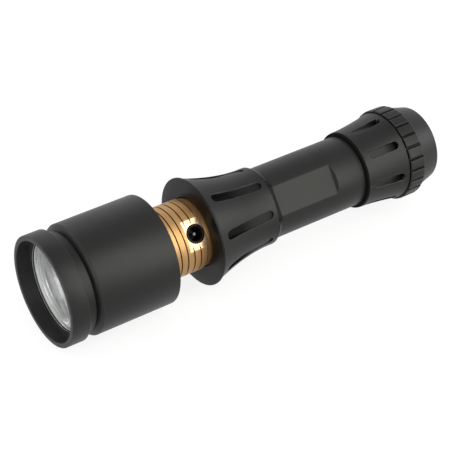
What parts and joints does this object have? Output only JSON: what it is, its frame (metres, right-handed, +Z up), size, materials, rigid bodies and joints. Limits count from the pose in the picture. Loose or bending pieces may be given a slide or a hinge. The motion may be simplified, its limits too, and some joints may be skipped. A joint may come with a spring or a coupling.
{
  "type": "rechargeable tactical flashlight",
  "caption": "Machined metal torch with an unscrewing head, threaded neck with charging jack, flared slotted handle, ribbed tail and push button.",
  "frame": {"origin": "centre of the box round the torch with its head unscrewed, on the plane under it", "axes": "+X along the torch from the bezel to the tail, +Z up, the charging jack and the flat panel turned from the top towards -Y"},
  "size_m": [0.1514, 0.038, 0.038],
  "materials": {
    "grey_anodised": "satin anodised",
    "gold_anodised": "gold anodised",
    "mirror_silver": "orange-peel mirror",
    "clear_glass": "polished",
    "black_rubber": "matt",
    "black_plastic": "gloss",
    "white_plastic": "matt",
    "bright_steel": "plain",
    "brass": "turned",
    "green_board": "solder mask",
    "led_yellow": "silicone dome",
    "cell_blue": "shrink sleeve"
  },
  "bodies": {
    "handle": {"neck": "gold_anodised", "led_board": "white_plastic", "led_emitter": "led_yellow", "led_screw_1": "bright_steel", "led_screw_2": "bright_steel", "driver_board": "green_board", "charge_jack": "black_plastic", "charge_pin": "bright_steel", "charge_board": "green_board", "contact_carrier": "white_plastic", "front_spring": "bright_steel", "body_tube": "grey_anodised", "battery_cell": "cell_blue", "battery_sleeve": "white_plastic", "tail_seal": "black_rubber"},
    "head_seal": {"head_oring": "black_rubber"},
    "head": {"bezel_ring": "grey_anodised", "lens_seal": "black_rubber", "lens": "clear_glass", "reflector": "mirror_silver", "head_shell": "grey_anodised"},
    "tail_contact": {"tail_spring": "bright_steel"},
    "tail": {"tail_sleeve": "grey_anodised", "end_cap": "grey_anodised", "retaining_ring": "brass", "switch_board": "green_board", "switch_body": "black_plastic", "switch_spacer": "white_plastic"},
    "button": {"switch_boot": "black_rubber", "switch_plunger": "white_plastic"}
  },
  "joints": [
    {"name": "head_slide", "type": "slide", "parent": "handle", "child": "head_seal", "axis": [1, 0, 0], "range_m": [0, 0.0163]},
    {"name": "head_turn", "type": "hinge", "parent": "head_seal", "child": "head", "pos_m": [0, 0, 0.019], "axis": [1, 0, 0], "range_deg": [0, 2346]},
    {"name": "tail_slide", "type": "slide", "parent": "handle", "child": "tail_contact", "axis": [1, 0, 0], "range_m": [0, 0.0105]},
    {"name": "tail_turn", "type": "hinge", "parent": "tail_contact", "child": "tail", "pos_m": [0, 0, 0.019], "axis": [1, 0, 0], "range_deg": [0, 2519]},
    {"name": "button_press", "type": "slide", "parent": "tail", "child": "button", "axis": [-1, 0, 0], "range_m": [0, 0.0015], "stiffness_N_per_m": 1500, "springref_m": -0.0005}
  ],
  "couplings": [
    {"joint": "head_slide", "follows": "head_turn", "m_per_rad": 0.00039789},
    {"joint": "tail_slide", "follows": "tail_turn", "m_per_rad": 0.00023873}
  ]
}
